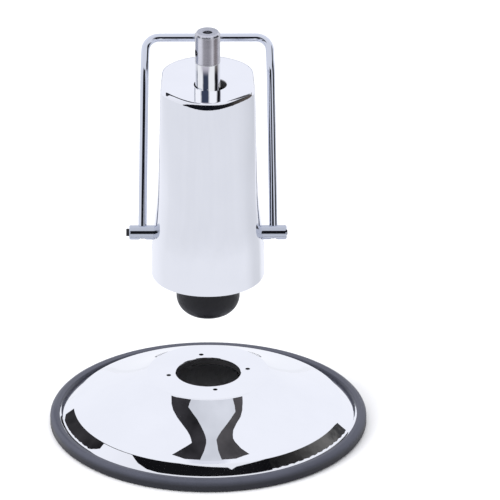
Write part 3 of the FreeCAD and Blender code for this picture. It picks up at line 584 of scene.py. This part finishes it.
def bow(px, py):
    """Rows follow the seat's edge at the top and the crease at the bottom."""
    s_ = min(1.0, max(0.0, (py - 399.6) / 63.9))
    half = min(abs(px - 208.0), 56.0) / 61.6
    top_ = 26.3 * (math.sqrt(1.0 - half * half) - 1.0)
    half = min(abs(px - 208.0), 120.0) / 135.0
    low_ = 57.8 * (math.sqrt(1.0 - half * half) - 1.0)
    return top_ * (1.0 - s_) + low_ * s_


def dome_flag(name, rows, reach, mat, across=8):
    """Rows of (picture y, left x, right x) laid out where the dome mirrors them."""
    vs, fs_ = [], []
    for (py, xa, xb) in rows:
        for i in range(across + 1):
            qx = xa + (xb - xa) * i / across
            p, n_, d_ = dome_point(qx, py + bow(qx, py))
            r_ = d_ - n_ * (2.0 * d_.dot(n_))
            vs.append(tuple(p + r_ * reach))
    w = across + 1
    for j in range(len(rows) - 1):
        for i in range(across):
            fs_.append((j * w + i, j * w + i + 1, (j + 1) * w + i + 1, (j + 1) * w + i))
    return stage_mesh(name, vs, fs_, mat)


def fx(v):
    return 208.0 + (v - 207.5) * 1.2


def fy(v):
    return 400.4 + (v - 413.0) * (463.0 - 400.4) / 54.0


def rows_of(data):
    return [(fy(a), fx(b), fx(c)) for a, b, c in data]


# under the hole's back rim, so the nut below the hole isn't black
hole_glow = stage_mesh("hole_glow", [(0.004, -0.004, 0.5618), (0.037, -0.004, 0.5618), (0.037, 0.044, 0.5618), (0.004, 0.044, 0.5618)], [(0, 1, 2, 3)],
           glow("hole_glow", [(0.3, (0.30, 0.30, 0.31)), (0.7, (0.62, 0.62, 0.64))], cloudy(70.0)))
hole_glow.visible_diffuse = True


# --------------------------------------------------------------------------
# flags in front of the cover's rounded top edge, placed where the edge mirrors them: painted dark reflections
# --------------------------------------------------------------------------
def surface_of(node):
    """Ray test against one node's mesh, with its smooth normal at the hit."""
    o_ = frame["nodes"][node]
    me = o_.data
    me.calc_loop_triangles()
    mw = o_.matrix_world
    nm = mw.to_3x3()
    vs = [mw @ v.co for v in me.vertices]
    tris = list(me.loop_triangles)
    tree = BVHTree.FromPolygons(vs, [tuple(q.vertices) for q in tris])

    def hit(px, py):
        org, d_ = pixel_ray(px, py)
        p, flat_n, idx, _ = tree.ray_cast(org, d_)
        if p is None:
            return None
        tri = tris[idx]
        a_, b_, c_ = (vs[i] for i in tri.vertices)
        area_ = (b_ - a_).cross(c_ - a_).length or 1e-12
        wa = (b_ - p).cross(c_ - p).length / area_
        wb = (c_ - p).cross(a_ - p).length / area_
        wc = max(0.0, 1.0 - wa - wb)
        ns = [nm @ me.corner_normals[li].vector for li in tri.loops]
        n_ = (ns[0] * wa + ns[1] * wb + ns[2] * wc).normalized()
        return p, n_, d_
    return hit


cover_hit = surface_of("pump_cover")


def edge_span(px):
    """Picture heights at which the rounded edge begins and ends in one column."""
    top_, low_ = None, None
    py = 91.0 if 186.0 < px < 233.0 else 84.0            # below the centre hole's own rim
    while py < 122.0:
        h = cover_hit(px, py)
        if h is not None and h[0].z > 0.548 and h[1].y < 0.3:
            if top_ is None and h[1].z < 0.975:
                top_ = py
            if top_ is not None and h[1].z < 0.16:
                low_ = py
                break
        py += 0.1
    return top_, low_


def edge_flag(name, rows, reach, mat, down=5):
    """Rows of (picture x, start, end); start and end are shares of the edge's height there."""
    vs, fs_, n_rows = [], [], 0
    for (px, f0, f1) in rows:
        top_, low_ = edge_span(px)
        if top_ is None or low_ is None:
            continue
        col_ = []
        for i in range(down + 1):
            f = f0 + (f1 - f0) * i / down
            h = cover_hit(px, top_ + (low_ - top_) * f)
            if h is None:
                break
            p, n_, d_ = h
            col_.append(tuple(p + (d_ - n_ * (2.0 * d_.dot(n_))) * reach))
        if len(col_) == down + 1:
            vs += col_
            n_rows += 1
    w = down + 1
    for j in range(n_rows - 1):
        for i in range(down):
            fs_.append((j * w + i, j * w + i + 1, (j + 1) * w + i + 1, (j + 1) * w + i))
    return stage_mesh(name, vs, fs_, mat)


def ex(v):
    return 207.4 + (v - 210.4) * 0.9


def dense(rows, step=1.5):
    res = []
    v = rows[0][0]
    while v <= rows[-1][0]:
        for r0, r1 in zip(rows, rows[1:]):
            if r0[0] <= v <= r1[0]:
                k = (v - r0[0]) / (r1[0] - r0[0])
                res.append((ex(v), r0[1] + (r1[1] - r0[1]) * k, r0[2] + (r1[2] - r0[2]) * k))
                break
        v += step
    return res


EDGE_DARK = [(183, 0.88, 1.0), (188, 0.62, 1.02), (194, 0.45, 1.14), (200, 0.37, 1.24), (208, 0.34, 1.32), (216, 0.37, 1.30),
             (224, 0.45, 1.22), (232, 0.49, 1.12), (240, 0.52, 1.05), (248, 0.55, 1.0), (254, 0.54, 0.98), (258, 0.50, 0.94), (260, 0.60, 0.86)]
EDGE_RIGHT = [(232, 0.07, 0.10), (240, 0.02, 0.22), (246, 0.05, 0.32), (252, 0.14, 0.44), (258, 0.32, 0.56)]
EDGE_LINE = [(164.2, 0.10, 0.58), (166.2, 0.0, 0.62), (167.8, 0.0, 0.24), (174, 0.0, 0.16), (182, 0.0, 0.17), (190, 0.0, 0.18),
             (198, 0.02, 0.13), (204, 0.04, 0.07)]


def edge_tone(n, co):
    """Black at the left and in front, browner to the right."""
    sp = n.new("ShaderNodeSeparateXYZ")
    n.link(co, sp.inputs[0])
    return n.math("ADD", n.step(sp.outputs[0], 0.005, 0.075),
                  n.math("MULTIPLY", n.math("SUBTRACT", n.noise(co, 120.0, 3.0, 0.6), 0.5), 0.5), clamp=True)


edge_flag("edge_dark", dense(EDGE_DARK), 0.006,
          glow("edge_dark", [(0.0, (0.006, 0.007, 0.011)), (0.4, (0.012, 0.012, 0.014)), (1.0, (0.11, 0.095, 0.085))], edge_tone))
edge_flag("edge_right", dense(EDGE_RIGHT), 0.0062,
          glow("edge_right", [(0.3, (0.06, 0.06, 0.066)), (0.7, (0.16, 0.155, 0.16))], cloudy(120.0)))
edge_flag("edge_line", dense(EDGE_LINE), 0.006,
          glow("edge_line", [(0.3, (0.015, 0.015, 0.02)), (0.7, (0.04, 0.04, 0.05))], cloudy(40.0)))

LEFT_BAND = [(413, 177, 193.5), (417, 177, 192), (420, 177, 191.2), (425, 178.5, 195), (430, 182, 199), (435, 186, 201.5),
             (440, 190, 204), (444, 192.3, 205.4), (447, 193.4, 206), (450, 194, 206), (453, 190, 205.2), (456, 185.5, 204.4),
             (462, 177.5, 202), (464.5, 188, 201)]
RIGHT_BAND = [(413, 228, 236), (417, 229, 236.3), (420, 229.7, 236.4), (425, 230.3, 236), (430, 226.5, 234.5), (435, 222.5, 231),
              (440, 218.5, 228.6), (444, 216, 228.2), (447, 214.5, 228.4), (450, 215, 230), (453, 215.5, 232.4), (456, 216, 235),
              (462, 218, 242), (464.5, 219, 231)]
CORE = [(413, 193, 228.5), (417, 191.5, 229.5), (420, 190.8, 230.2), (425, 194.5, 230.8), (430, 198.5, 227), (435, 201, 223),
        (440, 203.5, 219), (444, 205, 216.5), (447, 205.5, 215), (450, 205.5, 215.5), (453, 204.8, 216), (456, 204, 216.5),
        (462, 201.5, 218.5), (465.5, 199, 221)]
WHITE = [(y, 108, 306) for y in (412.6, 418, 424, 430, 436, 442, 448, 454, 460, 464.5)]
dome_flag("dome_white", rows_of(WHITE), 0.036,
          glow("dome_white", [(0.3, (0.955, 0.97, 1.03)), (0.7, (0.975, 0.99, 1.05))], cloudy(4.0)), 24)
dome_flag("dome_core", rows_of(CORE), 0.034,
          glow("dome_core", [(0.3, (0.60, 0.62, 0.67)), (0.7, (0.80, 0.82, 0.88))], cloudy(12.0)))
dome_flag("dome_left", rows_of(LEFT_BAND), 0.032,
          glow("dome_left", [(0.3, (0.016, 0.016, 0.018)), (0.7, (0.050, 0.048, 0.054))], cloudy(22.0)))
dome_flag("dome_right", rows_of(RIGHT_BAND), 0.032,
          glow("dome_right", [(0.3, (0.05, 0.048, 0.052)), (0.7, (0.10, 0.095, 0.10))], cloudy(22.0)))

SK_TILT = math.atan2(14.27, 19.07)
SK_A, SK_B = Vector((0.20493, 0.0, 0.02927)), Vector((0.22272, 0.0, 0.01596))


def skirt_flag(name, a0, a1, top, low, reach, mat, steps=40):
    """Strip that the skirt mirrors between two angles; top and low give its share of the skirt's width."""
    vs, fs_ = [], []
    d_ = fwd.normalized()
    for k in range(steps + 1):
        deg = a0 + (a1 - a0) * k / steps
        a = math.radians(deg)
        n_ = Vector((math.sin(SK_TILT) * math.sin(a), -math.sin(SK_TILT) * math.cos(a), math.cos(SK_TILT)))
        r_ = d_ - n_ * (2.0 * d_.dot(n_))
        for v in (top(deg), low(deg)):
            q = SK_A.lerp(SK_B, v)
            vs.append(tuple(Vector((q.x * math.sin(a), -q.x * math.cos(a), q.z)) + r_ * reach))
    for k in range(steps):
        fs_.append((2 * k, 2 * k + 1, 2 * k + 3, 2 * k + 2))
    return stage_mesh(name, vs, fs_, mat)


def rough_edge(deg, k):
    return 0.03 * math.sin(deg * 1.7 + k) + 0.02 * math.sin(deg * 4.1 + 2 * k)


def front_top(deg):
    return table([(-40, 0.0), (-17, 0.0), (-8, 0.12), (4, 0.26), (8, 0.32), (9.5, 0.50), (11.5, 0.30), (16, 0.20), (28, 0.0), (60, 0.0)], deg)


def front_low(deg):
    return table([(-34, 0.10), (-30, 0.55), (-25, 0.86), (-20, 0.95), (60, 0.95)], deg)


skirt_flag("skirt_left", -86.0, -50.0, lambda t: 0.0, lambda t: table([(-86, 0.75), (-82, 0.93), (-54, 0.93 + rough_edge(t, 1)), (-50, 0.55)], t),
           0.05, glow("skirt_left", [(0.3, (0.012, 0.012, 0.014)), (0.7, (0.060, 0.058, 0.062))], cloudy(14.0)))
skirt_flag("skirt_line", -50.0, -33.0, lambda t: 0.0, lambda t: 0.10,
           0.05, glow("skirt_line", [(0.3, (0.010, 0.010, 0.012)), (0.7, (0.03, 0.03, 0.033))], cloudy(14.0)))
skirt_flag("skirt_front", -34.0, 26.0, front_top, front_low,
           0.05, glow("skirt_front", [(0.3, (0.004, 0.004, 0.005)), (0.7, (0.010, 0.010, 0.012))], cloudy(14.0)), 80)


def skirt_fade(n, co):
    return n.math("ADD", n.step(azimuth(n, co)[0], 0.40, 1.45), n.math("MULTIPLY", n.math("SUBTRACT", n.noise(co, 90.0, 3.0, 0.6), 0.5), 0.30))


skirt_flag("skirt_right", 26.0, 72.0, lambda t: table([(26, 0.0), (66, 0.0), (72, 0.10)], t),
           lambda t: 0.90 + rough_edge(t, 3), 0.05,
           glow("skirt_right", [(0.0, (0.006, 0.006, 0.007)), (0.35, (0.035, 0.034, 0.034)), (0.62, (0.11, 0.108, 0.105)),
                                (0.84, (0.17, 0.165, 0.16)), (1.0, (0.05, 0.05, 0.052))], skirt_fade), 60)


def area(name, loc, target, size, power):
    l = bpy.data.lights.new(name, "AREA")
    l.shape = "RECTANGLE"
    l.size, l.size_y = size
    l.energy = power
    o = bpy.data.objects.new(name, l)
    o.location = loc
    o.rotation_mode = "QUATERNION"
    o.rotation_quaternion = (Vector(target) - Vector(loc)).to_track_quat("-Z", "Y")
    bpy.context.scene.collection.objects.link(o)
    return o


area("key_left", (-2.6, -1.2, 2.6), (0, 0, 0.35), (2.0, 2.0), 60.0).visible_glossy = False
area("fill_top", (0.0, 0.8, 3.4), (0, 0, 0.3), (3.0, 2.0), 30.0).visible_glossy = False
bpy.context.scene.view_settings.view_transform = "Standard"
